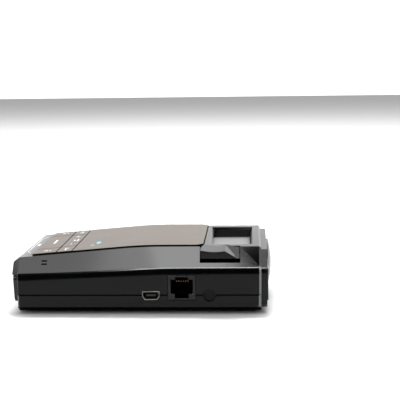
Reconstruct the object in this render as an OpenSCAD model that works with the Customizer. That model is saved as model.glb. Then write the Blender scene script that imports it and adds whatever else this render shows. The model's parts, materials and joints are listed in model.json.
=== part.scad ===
// Dashboard radar detector: a two-part case with a sloping keypad, a socket for a
// mounting bracket, side connectors, and a collar with windows and a lens at the front.
// X runs from the rear display to the front lens, Y across the case, Z up.
// The origin is the centre of the case's footprint, on the surface it rests on.

/* [Case] */
// Length of the case from the rear brow to the shoulder behind the collar
case_l = 111; // [96:0.5:134]
// Width of the case across its side walls
case_w = 69; // [64:0.5:84]
// Height of the flat part of the top above the surface it rests on
case_h = 29.2; // [28.4:0.1:36]
// Thickness of the moulded walls
wall = 2; // [1.6:0.1:2.4]
// Height of the line where the two halves part
parting_z = 8.4; // [8:0.1:9.2]
// Length of the flat part of the top, behind the collar
flat_l = 43.8; // [42:0.2:50]
// Length over which the flat top turns into the slope
blend_l = 18; // [10:1:24]
// Fall of the top towards the rear, in degrees
top_slope = 4.75; // [3:0.25:5.5]
// How far below the flat top the side crease runs at the front end, were it sharp
crease_drop = 9.3; // [8.2:0.1:10.2]
// Radius of the rounded crease where it meets the band
crease_r = 6; // [4:0.5:7]
// Radius with which the side wall begins to turn in below the crease
crease_ease_r = 16; // [8:1:20]
// How much lower the crease is at the rear end
crease_sweep = 2.7; // [0:0.1:3]
// Width of the band between crease and top, seen from above, at the front
band_w = 5.4; // [4:0.1:6]
// How much narrower that band is at the rear
band_taper = 0.6; // [0:0.1:1]
// How far the underside is set in from the side walls
belly_inset = 3.4; // [2:0.1:4]
// Height of the bevel between underside and side wall
belly_rise = 2.3; // [1.5:0.1:2.6]
// Length of the bevels on the rear corners and the brow
brow_cut = 3.4; // [2.5:0.1:4]
// Height of the lower edge of the rear brow
brow_z = 17; // [16:0.1:18]

/* [Collar and optics] */
// Length of the front collar
collar_l = 2.6; // [2:0.1:4]
// Step from the case in to the collar
collar_step = 1.5; // [1:0.1:2]
// Radius of the lens
lens_r = 10.75; // [8:0.05:11]
// How far the lens stands out of the collar
lens_proud = 2.4; // [1.5:0.1:3]
// Sideways place of the lens centre
lens_y = 6; // [2:0.5:8]
// Height of the lens centre
lens_z = 15.6; // [14.5:0.1:16]
// Clearance between the lens or a window and its seat
seat_gap = 0.15; // [0.1:0.05:0.2]

/* [Top plate and keypad] */
// How far the plate and the keys stand above the top
plate_proud = 0.75; // [0.5:0.05:1]
// How deep the plate is let into the top
plate_sink = 0.4; // [0.3:0.05:0.6]
// Half of the plate's width
plate_half_w = 28.6; // [24:0.1:28.8]
// Gap round the plate and between the keys
key_gap = 0.4; // [0.3:0.05:0.5]
// Distance from the rear brow to the first keys
keypad_setback = 8.8; // [8.4:0.1:11]
// Length of the rear keys
rear_key_l = 10.7; // [9:0.1:13]
// Length of the front keys
front_key_l = 6.8; // [6:0.1:9]
// Half width of the rear middle key
middle_key_half = 16.6; // [14:0.1:18]
// Half width of the volume rocker
rocker_half = 15.4; // [14:0.1:17]
// Travel of a key
key_travel = 0.4; // [0.3:0.05:0.45]

/* [Bracket socket] */
// Length of the socket for the mounting bracket
socket_l = 17.2; // [16:0.1:20]
// Width of the socket
socket_w = 45; // [36:0.5:46]
// Depth of the socket
socket_d = 4.7; // [4.2:0.1:5]
// Thickness of the socket's floor and sides
socket_wall = 1.4; // [1.2:0.1:1.6]
// Chamfer round the socket's rim
socket_chamfer = 1.2; // [0.6:0.1:1.4]
// Land between the socket and the front end of the case
socket_land = 5; // [3.8:0.1:6]
// Travel of the release button and its latch
release_travel = 1.5; // [1.2:0.1:1.6]
// How far the latch tooth stands above the socket's floor
tooth_h = 1.2; // [0.8:0.1:1.3]

/* [Connectors] */
// Width of the six-way power socket's body
jack_w = 12.2; // [11.6:0.1:13]
// Width of the cavity for the six-way plug
jack_cavity_w = 9.8; // [9.7:0.05:10]
// Width of the mini data socket's shell
usb_w = 7.7; // [7.6:0.05:7.9]
// Height of the mini data socket's shell
usb_h = 3.85; // [3.8:0.05:4]
// Diameter of the blanked audio port
audio_d = 5.5; // [5:0.1:6]

/* [Inside] */
// Thickness of the circuit boards
board_t = 1.6; // [1:0.1:1.6]
// Height of the standoffs that carry the main board
standoff_h = 1.9; // [1.7:0.1:2.2]
// Radius of the loudspeaker
speaker_r = 14; // [12:0.5:15]
// Height of the rubber feet below the underside
foot_proud = 0.8; // [0.6:0.1:1.2]
// Radius of the shank of a case screw
screw_r = 0.9; // [0.8:0.05:1]
// Clearance round a shank, a stem or a board
fit_gap = 0.2; // [0.15:0.05:0.3]

/* [Hidden] */
$fn = 48;
eps = 0.01;

half_w = case_w / 2;
belly_z = foot_proud;
floor_z = belly_z + wall;
crease_h = case_h - crease_drop;
rear_x = -(case_l + collar_l + lens_proud) / 2;
case_front_x = rear_x + case_l;
collar_front_x = case_front_x + collar_l;
blend_x = case_front_x - flat_l;
span_x = blend_x - rear_x;
blend_steps = 6;
crease_fall = 0.4;
crease_power = 1.35;
crease_steps = 5;
crease_ease = 8;
crease_ease_steps = 3;
brow_drop = 2.2;
corner_in = 3.2;
front_edge_in = 0.6;
front_edge_l = 0.9;

// ---- Shape of the case -------------------------------------------------------------
// A ramp that starts level and becomes a straight slope after a length r.
function soft_ramp(d, r) = d <= 0 ? 0 : d < r ? d * d / (2 * r) : d - r / 2;
// Height of the top at a place along the case.
function top_z(x) = case_h - tan(top_slope) * soft_ramp(blend_x - x, blend_l);
// Height of the side crease at a place along the case.
function crease_z(x) =
    let (front = min(1, (case_front_x - x) / flat_l))
    let (rear = min(1, max(0, (blend_x - x) / span_x)))
    crease_h - crease_fall * front - crease_sweep * (1 - pow(1 - rear, crease_power));
function band_run(x) = band_w - band_taper * (case_front_x - x) / case_l;

// One half of the cross-section at x, from the underside up, moved in by t.
function half_section(x, t, side_in, top_in) =
    let (w = half_w - side_in)
    let (low = belly_z + belly_rise)
    let (crease = crease_z(x) - top_in / 3)
    let (top = top_z(x) - top_in)
    let (lean = atan2(band_run(x), top - crease))
    let (rise = atan2(belly_rise, belly_inset))
    let (swap = crease_ease_r - crease_r)
    let (start = crease + (crease_ease_r * cos(lean) - crease_r - swap * cos(lean - crease_ease))
        / sin(lean))
    let (low_mid = [w - crease_ease_r, start])
    let (high_mid = low_mid + swap * [cos(crease_ease), sin(crease_ease)])
    let (left = lean - crease_ease)
    concat(
        [
            [w - belly_inset - t * tan(rise / 2), belly_z + t],
            [w - t, low + t * tan(45 - rise / 2)]
        ],
        [for (i = [0:crease_ease_steps]) let (a = crease_ease * i / crease_ease_steps)
            low_mid + (crease_ease_r - t) * [cos(a), sin(a)]],
        [for (i = [1:crease_steps]) let (a = crease_ease + left * i / crease_steps)
            high_mid + (crease_r - t) * [cos(a), sin(a)]],
        [[w - band_run(x) - t * tan(45 - lean / 2), top - t]]
    );
function section(x, t, side_in = 0, top_in = 0) =
    let (h = half_section(x, t, side_in, top_in))
    concat(
        [for (p = h) [x, p[0], p[1]]],
        [for (i = [len(h) - 1:-1:0]) [x, -h[i][0], h[i][1]]]
    );

// Places along the case where its cross-section changes.
function blend_places() =
    [for (i = [0:blend_steps]) blend_x - blend_l * (1 - i / blend_steps)];
function slope_places(x0) =
    let (run = blend_x - blend_l - x0)
    [for (i = [0:2]) x0 + run * i / 3];
function case_places(x0, x1) = concat(slope_places(x0), blend_places(), [x1]);

module loft(rings) {
    n = len(rings[0]);
    last = len(rings) - 1;
    sides = [for (i = [0:last - 1]) for (k = [0:n - 1])
        [i * n + k, (i + 1) * n + k, (i + 1) * n + (k + 1) % n, i * n + (k + 1) % n]];
    rear_cap = [[for (k = [0:n - 1]) k]];
    front_cap = [[for (k = [n - 1:-1:0]) last * n + k]];
    polyhedron([for (r = rings) each r], concat(rear_cap, sides, front_cap));
}

module case_solid() {
    loft(concat(
        [section(rear_x, 0, corner_in, brow_drop)],
        [for (x = case_places(rear_x + brow_cut, case_front_x - front_edge_l)) section(x, 0)],
        [section(case_front_x, 0, front_edge_in, front_edge_in)]
    ));
}

// The case moved in by t all round, from x0 to x1.
module case_inset(t, x0, x1) {
    loft([for (x = case_places(x0, x1)) section(x, t)]);
}

// A straight length of the case's front cross-section, moved in by t.
module front_inset(t, x0, x1) {
    shift = [x1 - x0, 0, 0];
    ring = [for (p = section(case_front_x, t)) [x0, p[1], p[2]]];
    loft([ring, [for (p = ring) p + shift]]);
}

module box(low, high) {
    translate(low) cube(high - low);
}
module slab(z0, z1) {
    box([-case_l, -case_w, z0], [case_l, case_w, z1]);
}
module round_rect(low, high, r) {
    translate(low + [r, 0]) square([high[0] - low[0] - 2 * r, high[1] - low[1]]);
    translate(low + [0, r]) square([high[0] - low[0], high[1] - low[1] - 2 * r]);
    for (x = [low[0] + r, high[0] - r])
        for (y = [low[1] + r, high[1] - r])
            translate([x, y]) circle(r);
}
// Turns a drawing in [X, Z] into a slab between two values of Y.
module along_y(y0, y1) {
    translate([0, y1, 0]) rotate([90, 0, 0]) linear_extrude(y1 - y0) children();
}
// Turns a drawing in [Y, Z] into a slab between two values of X.
module along_x(x0, x1) {
    translate([x0, 0, 0]) rotate([90, 0, 90]) linear_extrude(x1 - x0) children();
}
module rod_x(x0, x1, y, z, r) {
    translate([x0, y, z]) rotate([0, 90, 0]) cylinder(h = x1 - x0, r = r);
}
module rod_y(x, y0, y1, z, r) {
    translate([x, y0, z]) rotate([-90, 0, 0]) cylinder(h = y1 - y0, r = r);
}
module rod_z(x, y, z0, z1, r) {
    translate([x, y, z0]) cylinder(h = z1 - z0, r = r);
}

// ---- Keypad frame: local X runs up the slope, local Z is square to it --------------
plate_x0 = rear_x + keypad_setback;
function plate_z(x) = top_z(x) + plate_proud;
key_rows_l = rear_key_l + key_gap + front_key_l;
keypad_half_w = plate_half_w - key_gap;
skin_under = plate_proud + wall;
keypad_corner = 1.2;
key_corner = 0.4;
cap_t = 1.9;
stem_r = 1.5;
switch_h = 1.7;
free_play = 0.1;
gasket_t = 0.6;
gasket_lap = 2.1;
gasket_half = keypad_half_w - 0.5;
keypad_board_t = 1.2;
stem_end = skin_under + gasket_t + 0.4;
keypad_board_top = stem_end + key_travel + free_play + switch_h;
rear_key_mid = rear_key_l / 2;
front_key_mid = rear_key_l + key_gap + front_key_l / 2;
side_key_y = (middle_key_half + key_gap + keypad_half_w) / 2;
rocker_stem_y = 9.8;
// Each key's stems: place up the slope, place across.
rear_middle_stems = [[rear_key_mid, 0]];
rear_near_stems = [[rear_key_mid, -side_key_y]];
rear_far_stems = [[rear_key_mid, side_key_y]];
volume_stems = [[front_key_mid, -rocker_stem_y], [front_key_mid, rocker_stem_y]];
front_near_stems = [[front_key_mid, -side_key_y]];
front_far_stems = [[front_key_mid, side_key_y]];
all_stems = concat(rear_middle_stems, rear_near_stems, rear_far_stems, volume_stems,
    front_near_stems, front_far_stems);
keypad_post_u = key_rows_l + 4.2;
keypad_post_y = 21;
keypad_board_half = min(keypad_post_y + 4, half_w - 8.9);

// Outline of all the keys together, grown by a gap; only its rear corners are round.
module keypad_outline(gap) {
    half = keypad_half_w + gap;
    round_rect([-gap, -half], [rear_key_l + gap, half], keypad_corner + gap);
    translate([rear_key_l / 2, -half]) square([plate_rear_u + eps - rear_key_l / 2, 2 * half]);
}
module on_slope() {
    translate([plate_x0, 0, plate_z(plate_x0)]) rotate([0, -top_slope, 0]) children();
}

// ---- Plate ------------------------------------------------------------------------
plate_rear_u = key_rows_l + key_gap;
plate_rear_x = plate_x0 + plate_rear_u * cos(top_slope);
plate_to_socket = 3.4;
plate_front_x = case_front_x - socket_land - socket_l - plate_to_socket;
plate_corner = 2.6;
function plate_places(x0, x1) =
    concat([x0], [for (x = blend_places()) if (x > x0 && x < x1) x], [x1]);
module plate_profile(x0, x1, under) {
    places = plate_places(x0, x1);
    last = len(places) - 1;
    polygon(concat(
        [for (x = places) [x, plate_z(x)]],
        [for (i = [last:-1:0]) [places[i], top_z(places[i]) - under]]
    ));
}
module plate_outline(x0, x1, grow) {
    w = plate_half_w + grow;
    cut = plate_corner;
    polygon([[x0, -w], [x1 - cut, -w], [x1, cut - w], [x1, w - cut], [x1 - cut, w], [x0, w]]);
}

// ---- Bracket socket and its release --------------------------------------------------
socket_x1 = case_front_x - socket_land;
socket_x0 = socket_x1 - socket_l;
socket_half = socket_w / 2;
socket_floor = case_h - socket_d;
groove_d = 0.9;
groove_h = 1.6;
latch_x0 = socket_x0 + 2.6;
latch_w = 6;
tooth_y0 = -16;
tooth_y1 = -12.4;
arm_gap = 0.4;
arm_top = socket_floor - socket_wall - arm_gap;
arm_t = 1.5;
button_x0 = socket_x0 - 4.5;
button_x1 = button_x0 + 17.2;
button_out = half_w - 1.8;
button_in = half_w - band_w - 1.3;
button_low = case_h - 4.85;
button_lip = button_low + 3.45;
button_top = case_h + 0.75;
button_gap = 0.3;
// Corners of the twisted facet at the button's front end.
facet_back_in = [button_x0 + 10.9, -button_in, button_top];
facet_back_out = [button_x0 + 10.5, -button_out, button_lip];
facet_front_out = [button_x1 - 0.8, -button_out, button_low];
facet_front_in = [button_x1, -button_in, button_top - 1.45];
scoop_r = 26;
scoop_depth = 0.5;
spring_r = 1.8;
spring_wire = 0.35;
spring_x = latch_x0 + latch_w / 2;
spring_y = -(button_in + 0.9);
spring_len = 4;
spring_seat = arm_top - arm_t - spring_len;

// ---- Boards and what stands on them ---------------------------------------------------
board_low = floor_z + standoff_h;
board_top = board_low + board_t;
board_x0 = rear_x + 8.8;
board_x1 = case_front_x - 3.2;
board_half = half_w - wall - 1.2;
screw_y = half_w - 5.5;
rear_screw_x = rear_x + 14.4;
front_screw_x = case_front_x - 6.9;
screw_places = [for (x = [rear_screw_x, front_screw_x]) for (y = [-screw_y, screw_y]) [x, y]];
head_r = 1.9;
head_h = 1.2;
head_seat = belly_z + 1.4;
screw_len = 11.5;
boss_r = 2.5;
boss_top = brow_z + 3.6;
speaker_x = rear_x + 38;
speaker_y = 7;
speaker_h = 5;

jack_x = case_front_x - 35;
jack_face_y = -(half_w - 0.25);
jack_len = 15;
jack_top = board_top + 10.9;
jack_floor = board_top + 2.7;
jack_roof = board_top + 9;
latch_slot_w = 6.1;
latch_slot_low = board_top + 0.6;
roof_slot_w = 5.7;
roof_slot_top = board_top + 10.1;
jack_depth = 11;
contact_pitch = 1.02;
contact_w = 0.4;
contact_count = 6;

usb_x = case_front_x - 48.65;
usb_len = 8.6;
usb_face_y = -(half_w - 0.1);
usb_t = 0.35;
usb_low = board_top;

audio_x = case_front_x - 22.8;

recess_x = rear_x + 3;
rear_wall_x = recess_x + wall;
window_half = half_w - 3.4;
window_low = belly_z + 3.8;
window_high = brow_z - 0.15;
display_half = 23;
display_low = window_low + 1.6;
display_high = window_high - 1.6;

pane_low = belly_z + collar_step + 2.9;
pane_high = crease_h + 0.1;
pane_edge = half_w - 2.9;
pane_lens_gap = 1.6;
pane_t = 1.4;
pane_proud = 0.5;
rebate = 1;
near_pane = [-pane_edge, lens_y - lens_r - pane_lens_gap];
far_pane = [lens_y + lens_r + pane_lens_gap, pane_edge];
lens_back = collar_front_x - 2;
lens_flange_r = lens_r + 0.6;
lens_edge = 0.9;
spigot_l = socket_land - socket_wall - 2 * fit_gap;

// ---- Case halves --------------------------------------------------------------------
module case_shell() {
    difference() {
        case_solid();
        case_inset(wall, rear_wall_x, case_front_x + 1);
        // The lower rear end steps in under the brow, and leaves a place for the display.
        box([rear_x - 1, -case_w, -1], [recess_x, case_w, brow_z]);
        translate([recess_x, 0, parting_z]) rotate([0, 12, 0])
            box([-4, -case_w, -case_h], [0, case_w, 0]);
        box([rear_x, -display_half, display_low], [rear_wall_x + 1, display_half, display_high]);
        jack_hole();
        usb_hole();
        rod_y(audio_x, -half_w - 1, -half_w + wall + 1, parting_z, audio_d / 2 + seat_gap / 2);
    }
}

module jack_hole() {
    half = jack_w / 2 + fit_gap;
    box([jack_x - half, -half_w - 1, board_top - fit_gap],
        [jack_x + half, -half_w + wall + 2, jack_top + fit_gap]);
}

module usb_outline(grow) {
    w = usb_w / 2 + grow;
    low = usb_low - grow;
    high = usb_low + usb_h + grow;
    shoulder = usb_low + usb_h * 0.45;
    polygon([[usb_x - w + 1, low], [usb_x + w - 1, low], [usb_x + w, shoulder],
        [usb_x + w, high], [usb_x - w, high], [usb_x - w, shoulder]]);
}
module usb_hole() {
    along_y(-half_w - 1, -half_w + wall + 2) usb_outline(fit_gap);
}

module parting_groove() {
    depth = 0.35;
    difference() {
        slab(parting_z - eps, parting_z + depth);
        case_inset(depth, rear_x - 1, case_front_x + 2);
    }
}

module socket_cut() {
    low = [socket_x0, -socket_half, socket_floor];
    high = [socket_x1, socket_half, case_h + 1];
    chamfer = [socket_chamfer, socket_chamfer, 0];
    rim = case_h - socket_chamfer;
    box(low, high);
    hull() {
        box([low[0], low[1], rim], [high[0], high[1], rim + eps]);
        box([low[0], low[1], case_h] - chamfer, [high[0], high[1], case_h + eps] + chamfer);
    }
    // Groove for the bracket's front lip.
    box([socket_x1 - eps, -socket_half + 4, socket_floor],
        [socket_x1 + groove_d, socket_half - 4, socket_floor + groove_h]);
    // Window for the latch tooth.
    box([latch_x0 - button_gap, tooth_y0 - button_gap, socket_floor - socket_wall - 1],
        [latch_x0 + latch_w + button_gap, tooth_y1 + button_gap, socket_floor + 1]);
}

module button_opening() {
    // The thin lip of wall below the button's outer face stays.
    low = button_low - release_travel - button_gap;
    box([button_x0 - button_gap, -button_out - button_gap, low],
        [button_x1 + button_gap, -button_in + button_gap, case_h + 1]);
}

module band_slots() {
    slot = [2.5, wall * 3, 0.6];
    pitch = 1.3;
    first = crease_z(rear_x + 14) + 4.5;
    for (z = [first, first + pitch])
        translate([rear_x + 13.6, -half_w - 1, z]) cube(slot);
}

module keypad_opening() {
    on_slope() translate([0, 0, -skin_under - 1]) linear_extrude(skin_under + 2)
        keypad_outline(key_gap);
}

module plate_seat() {
    intersection() {
        along_y(-case_w, case_w)
            plate_profile(plate_rear_x - eps, plate_front_x + key_gap, plate_sink);
        linear_extrude(case_h * 2)
            plate_outline(plate_rear_x - eps, plate_front_x + key_gap, key_gap);
    }
}

module top_inside() {
    intersection() {
        case_inset(wall / 2, rear_wall_x - 1, case_front_x - 2);
        union() {
            // Screw bosses; the rear pair stops below the keys and is tied to the side walls.
            for (p = screw_places) {
                side = sign(p[1]);
                high = p[0] < 0 ? boss_top : case_h;
                rod_z(p[0], p[1], board_top, high, boss_r);
                box([p[0] - 0.6, min(p[1], side * half_w), board_top + 4],
                    [p[0] + 0.6, max(p[1], side * half_w), high]);
            }
            // Ledge under the release spring.
            box([spring_x - 3, -half_w, spring_seat - 1.5],
                [spring_x + 3, spring_y + spring_r + 0.3, spring_seat]);
            // Walls and floor of the bracket socket.
            box([socket_x0 - socket_wall, -socket_half - socket_wall, socket_floor - socket_wall],
                [socket_x1 + socket_wall, socket_half + socket_wall, case_h]);
            // Rib and posts that carry the keypad board.
            on_slope() {
                box([-3.1, -18, -keypad_board_top], [-2.4, 18, -plate_proud]);
                for (y = [-keypad_post_y, keypad_post_y])
                    translate([keypad_post_u, y, -keypad_board_top])
                        cylinder(h = keypad_board_top - plate_proud, r = 2);
            }
        }
    }
}

module top_housing() {
    color("#3a3c3e") difference() {
        union() {
            intersection() {
                case_shell();
                slab(parting_z, case_h * 2);
            }
            top_inside();
        }
        parting_groove();
        socket_cut();
        button_opening();
        band_slots();
        keypad_opening();
        plate_seat();
        jack_hole();
        for (p = screw_places)
            rod_z(p[0], p[1], board_top - 1, head_seat + screw_len + 1, screw_r + 0.05);
    }
}

module bottom_housing() {
    pitch = 3.6;
    slot_w = 1.5;
    color("#333537") difference() {
        union() {
            intersection() {
                case_shell();
                slab(-1, parting_z);
            }
            for (p = screw_places)
                rod_z(p[0], p[1], floor_z - wall / 2, board_low, boss_r + 0.6);
        }
        for (p = screw_places) {
            rod_z(p[0], p[1], belly_z - 1, head_seat, head_r + fit_gap);
            rod_z(p[0], p[1], belly_z, board_low + 1, screw_r + fit_gap);
        }
        // Grille under the loudspeaker.
        for (i = [-2:2]) {
            half = sqrt(pow(speaker_r - 3, 2) - pow(i * pitch, 2)) - slot_w / 2;
            x = speaker_x + i * pitch;
            box([x - slot_w / 2, speaker_y - half, belly_z - 1],
                [x + slot_w / 2, speaker_y + half, floor_z + 1]);
            for (y = [speaker_y - half, speaker_y + half])
                rod_z(x, y, belly_z - 1, floor_z + 1, slot_w / 2);
        }
        for (p = foot_places)
            rod_z(p[0], p[1], belly_z - 1, belly_z + foot_sink, foot_r);
        linear_extrude(belly_z + label_sink) label_outline();
    }
}

foot_r = 4;
foot_sink = 0.4;
foot_places = [for (x = [rear_x + 13, case_front_x - 10.5]) for (y = [-19, 19]) [x, y]];
module rubber_feet() {
    color("#1c1c1c") for (p = foot_places)
        rod_z(p[0], p[1], 0, belly_z + foot_sink, foot_r);
}

label_sink = 0.15;
module label_outline() {
    round_rect([speaker_x + speaker_r + 8, -13], [case_front_x - 18, 13], 1.5);
}
module rating_label() {
    color("#c9c9c4") translate([0, 0, belly_z + 0.05])
        linear_extrude(label_sink - 0.05) label_outline();
}

module case_screws() {
    color("#8f9194") for (p = screw_places) difference() {
        union() {
            rod_z(p[0], p[1], head_seat - head_h, head_seat, head_r);
            rod_z(p[0], p[1], head_seat, head_seat + screw_len, screw_r);
        }
        for (turn = [0, 90])
            translate([p[0], p[1], head_seat - head_h]) rotate(turn)
                cube([2.4, 0.5, 1.2], center = true);
    }
}

// ---- Front end ----------------------------------------------------------------------
module lens_hole() {
    rod_x(case_front_x - 5, collar_front_x + 1, lens_y, lens_z, lens_r + seat_gap);
    rod_x(case_front_x - 5, lens_back + 1, lens_y, lens_z, lens_flange_r + seat_gap);
}

module pane_shape(side, grow) {
    round_rect([side[0] - grow, pane_low - grow], [side[1] + grow, pane_high + grow], 1.2);
}

module front_bezel() {
    color("#2d2f31") difference() {
        union() {
            front_inset(collar_step, case_front_x, collar_front_x);
            difference() {
                front_inset(wall + fit_gap, case_front_x - spigot_l, case_front_x + eps);
                front_inset(wall + 1.4, case_front_x - spigot_l - 1, case_front_x);
            }
        }
        lens_hole();
        for (side = [near_pane, far_pane]) {
            along_x(case_front_x - 1, collar_front_x + 1) pane_shape(side, -rebate);
            along_x(collar_front_x - pane_t, collar_front_x + 1) pane_shape(side, seat_gap);
        }
        // Clear of the two front screw bosses.
        for (y = [-screw_y, screw_y])
            rod_z(front_screw_x, y, belly_z, case_h, boss_r + 1.6);
    }
}

module antenna_window() {
    color("#2a1440")
        along_x(collar_front_x - pane_t, collar_front_x + pane_proud) pane_shape(near_pane, 0);
}
module side_window() {
    color("#2a1440")
        along_x(collar_front_x - pane_t, collar_front_x + pane_proud) pane_shape(far_pane, 0);
}

module laser_lens() {
    dome = lens_proud - lens_edge;
    ball_r = (lens_r * lens_r + dome * dome) / (2 * dome);
    sweep = asin(lens_r / ball_r);
    steps = 10;
    base = collar_front_x - lens_back + lens_edge;
    color("#e6ebee", 0.5) translate([lens_back, lens_y, lens_z]) rotate([0, 90, 0])
        rotate_extrude($fn = 64) polygon(concat(
            [[0, 0], [lens_flange_r, 0], [lens_flange_r, 1], [lens_r, 1]],
            [for (i = [steps:-1:0])
                [ball_r * sin(sweep * i / steps),
                    base + dome - ball_r * (1 - cos(sweep * i / steps))]]
        ));
}

holder_x0 = case_front_x - 10;
holder_x1 = case_front_x - 1.5;
holder_r = 6.6;
diode_r = 2.5;
module sensor_holder() {
    foot = 3;
    color("#26282a") difference() {
        union() {
            rod_x(holder_x0, holder_x1, lens_y, lens_z, holder_r);
            box([holder_x0 + 1, lens_y - foot, board_top], [holder_x0 + 5, lens_y + foot, lens_z]);
        }
        rod_x(holder_x0 + 2, holder_x1 + 1, lens_y, lens_z, holder_r - 1);
        rod_x(holder_x0 - 1, holder_x0 + 3, lens_y, lens_z, diode_r + 0.05);
    }
}
module photodiode() {
    color("#33242e") {
        rod_x(holder_x0 - 1.5, holder_x0 + 3, lens_y, lens_z, diode_r);
        rod_x(holder_x0 - 0.8, holder_x0, lens_y, lens_z, diode_r + 0.4);
        intersection() {
            translate([holder_x0 + 3, lens_y, lens_z]) sphere(diode_r);
            box([holder_x0 + 3 - eps, lens_y - 5, 0], [holder_x0 + 8, lens_y + 5, case_h]);
        }
    }
}

horn_x0 = case_front_x - 25.4;
horn_x1 = case_front_x - 3.4;
horn_y = -15.4;
horn_half = 9.9;
horn_h = 11.6;
horn_t = 0.8;
module horn_flare(shrink, over) {
    mouth = [horn_half - shrink, horn_h / 2 - shrink];
    throat = [5.6 - shrink, 3.6 - shrink];
    mid_z = board_top + horn_h / 2;
    translate([0, horn_y, mid_z]) hull() {
        box([horn_x0 + 7, -throat[0], -throat[1]], [horn_x0 + 7 + eps, throat[0], throat[1]]);
        box([horn_x1 - eps, -mouth[0], -mouth[1]], [horn_x1 + over, mouth[0], mouth[1]]);
    }
}
module horn_antenna() {
    foot = 4.4;
    mid_z = board_top + horn_h / 2;
    color("#b5b8ba") difference() {
        union() {
            horn_flare(0, 0);
            box([horn_x0, horn_y - 5.6, mid_z - 3.6], [horn_x0 + 7.1, horn_y + 5.6, mid_z + 3.6]);
            box([horn_x0 + 1, horn_y - foot, board_top], [horn_x0 + 12, horn_y + foot, mid_z]);
        }
        horn_flare(horn_t, 1);
        box([horn_x0 + 2, horn_y - 4.8, mid_z - 2.8], [horn_x0 + 7.2, horn_y + 4.8, mid_z + 2.8]);
    }
}

// ---- Boards, chips and shields --------------------------------------------------------
module main_board() {
    color("#1d5a38") difference() {
        box([board_x0, -board_half, board_low], [board_x1, board_half, board_top]);
        rod_z(speaker_x, speaker_y, board_low - 1, board_top + 1, speaker_r + 0.6);
        for (p = screw_places)
            rod_z(p[0], p[1], board_low - 1, board_top + 1, screw_r + fit_gap);
    }
}

shield_x0 = horn_x0 - 20;
module rf_shield() {
    low = [shield_x0, horn_y - 3, board_top];
    high = [horn_x0 - 0.6, horn_y + 14, board_top + 5];
    skin = [0.4, 0.4, 0];
    color("#c2c5c7") difference() {
        box(low, high);
        box(low + skin - [0, 0, 1], high - skin - [0, 0, 0.4]);
    }
}

module processor_chip() {
    color("#202224") box([shield_x0 - 2, 8, board_top], [shield_x0 + 10, 20, board_top + 1.4]);
}

module display_window() {
    lean = 0.6;
    color("#0b0c0d") intersection() {
        along_x(rear_x - 1, recess_x)
            round_rect([-window_half, window_low], [window_half, window_high], 2.2);
        along_y(-case_w, case_w) polygon([
            [rear_x + 0.3, window_high], [rear_x + 0.3 + lean, window_low],
            [recess_x, window_low], [recess_x, window_high]
        ]);
    }
}

module display_module() {
    glass_t = 1.2;
    color("#101a2a") {
        box([rear_wall_x, -display_half - 1.4, display_low - 1],
            [rear_wall_x + glass_t, display_half + 1.4, display_high + 0.8]);
        box([rear_wall_x + glass_t, -display_half - 0.4, display_low - 1],
            [rear_wall_x + glass_t + 1, display_half + 0.4, display_high + 0.8]);
    }
}

module speaker() {
    color("#55585a") difference() {
        union() {
            rod_z(speaker_x, speaker_y, floor_z, floor_z + 2.4, speaker_r);
            rod_z(speaker_x, speaker_y, floor_z, floor_z + speaker_h, speaker_r - 4.5);
        }
        translate([speaker_x, speaker_y, floor_z - 22]) sphere(22 + 1.2, $fn = 64);
    }
}

// ---- Connectors ---------------------------------------------------------------------
module power_jack() {
    half = jack_w / 2;
    back = jack_face_y + jack_len;
    end = jack_face_y + jack_depth;
    color("#3f4144") difference() {
        box([jack_x - half, jack_face_y, board_top], [jack_x + half, back, jack_top]);
        box([jack_x - jack_cavity_w / 2, jack_face_y - 1, jack_floor],
            [jack_x + jack_cavity_w / 2, end, jack_roof]);
        box([jack_x - latch_slot_w / 2, jack_face_y - 1, latch_slot_low],
            [jack_x + latch_slot_w / 2, end - 3, jack_roof]);
        box([jack_x - roof_slot_w / 2, jack_face_y - 1, jack_floor],
            [jack_x + roof_slot_w / 2, end - 1, roof_slot_top]);
    }
}

module power_contacts() {
    tip = jack_face_y + 4.6;
    root = jack_face_y + jack_depth;
    thick = 0.35;
    color("#c9a24a") for (i = [0:contact_count - 1]) {
        x = jack_x + (i - (contact_count - 1) / 2) * contact_pitch;
        along_x(x - contact_w / 2, x + contact_w / 2) polygon([
            [tip, jack_roof - 1.8], [root, jack_roof - 0.8],
            [root, jack_roof - 0.8 + thick], [tip, jack_roof - 1.8 + thick]
        ]);
    }
}

module usb_shell() {
    color("#c8cacc") difference() {
        along_y(usb_face_y, usb_face_y + usb_len) usb_outline(0);
        along_y(usb_face_y - 1, usb_face_y + usb_len - 0.5) usb_outline(-usb_t);
    }
}
module usb_tongue() {
    color("#202020") along_y(usb_face_y + 0.8, usb_face_y + usb_len - 0.5)
        translate([usb_x - 2.1, usb_low + 1.5]) square([4.2, 0.9]);
}

module audio_port_plug() {
    inner = -half_w + wall;
    recess = 0.9;
    color("#2b2d2f") {
        rod_y(audio_x, -half_w + recess, inner + 0.8, parting_z, audio_d / 2);
        rod_y(audio_x, inner, inner + 0.8, parting_z, audio_d / 2 + 0.8);
    }
}

// ---- Keypad --------------------------------------------------------------------------
module key_gasket() {
    color("#5c5f61") on_slope() translate([0, 0, -skin_under - gasket_t])
        linear_extrude(gasket_t) difference() {
            translate([-gasket_lap, -gasket_half])
                square([plate_rear_u + 2 * gasket_lap - 1, 2 * gasket_half]);
            for (s = all_stems) translate(s) circle(stem_r + 2 * fit_gap);
        }
}

module keypad_board() {
    color("#1d5a38") on_slope()
        box([-3.1, -keypad_board_half, -keypad_board_top - keypad_board_t],
            [keypad_post_u + 2.4, keypad_board_half, -keypad_board_top]);
}

module tact_switches() {
    color("#b9bbbd") on_slope() for (s = all_stems) translate([s[0], s[1], -keypad_board_top]) {
        translate([-2.25, -2.25, 0]) cube([4.5, 4.5, switch_h - 0.4]);
        cylinder(h = switch_h, r = 1.2);
    }
}

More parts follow.
